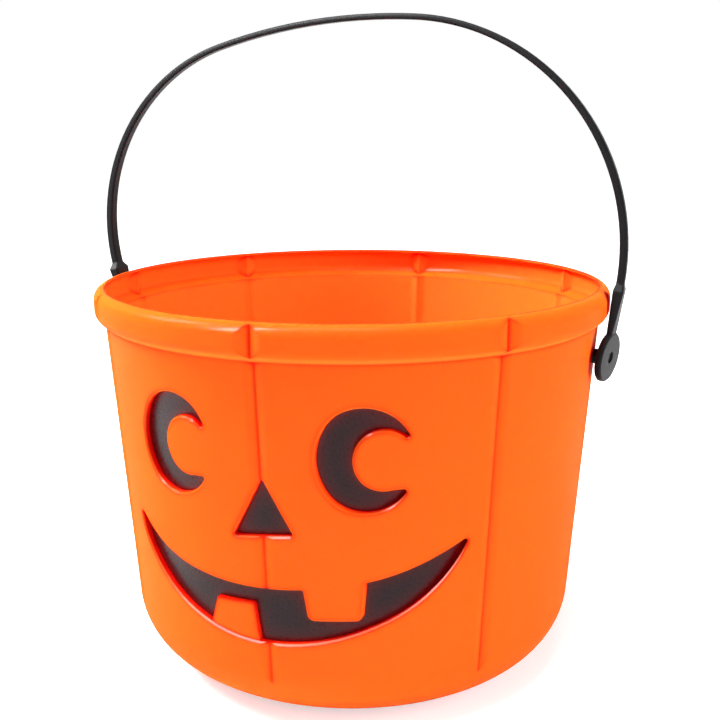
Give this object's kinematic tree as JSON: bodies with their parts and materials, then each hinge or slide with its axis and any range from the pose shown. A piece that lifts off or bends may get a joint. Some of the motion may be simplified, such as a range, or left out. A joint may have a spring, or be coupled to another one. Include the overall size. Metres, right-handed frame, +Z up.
{
  "type": "pumpkin candy pail",
  "caption": "Tapered orange candy pail with shallow pumpkin grooves, a hollow notched rim, a pressed-in painted face and a slim carry handle that swings over either side.",
  "frame": {"origin": "centre of the base, on the plane the pail stands on", "axes": "+Z up along the pail's axis, -Y out of the front with the face, +X to the right as seen from the front and along the handle's pivot line"},
  "size_m": [0.2326, 0.2158, 0.2681],
  "materials": {
    "orange_plastic": "soft gloss",
    "black_paint": "satin",
    "black_plastic": "satin"
  },
  "bodies": {
    "pail": {"pail_shell": "orange_plastic", "left_eye_paint": "black_paint", "right_eye_paint": "black_paint", "nose_paint": "black_paint", "mouth_paint": "black_paint"},
    "handle": {"handle": "black_plastic"}
  },
  "joints": [
    {"name": "handle_swing", "type": "hinge", "parent": "pail", "child": "handle", "pos_m": [0, 0, 0.1332], "axis": [1, 0, 0], "range_deg": [-130, 130]}
  ]
}
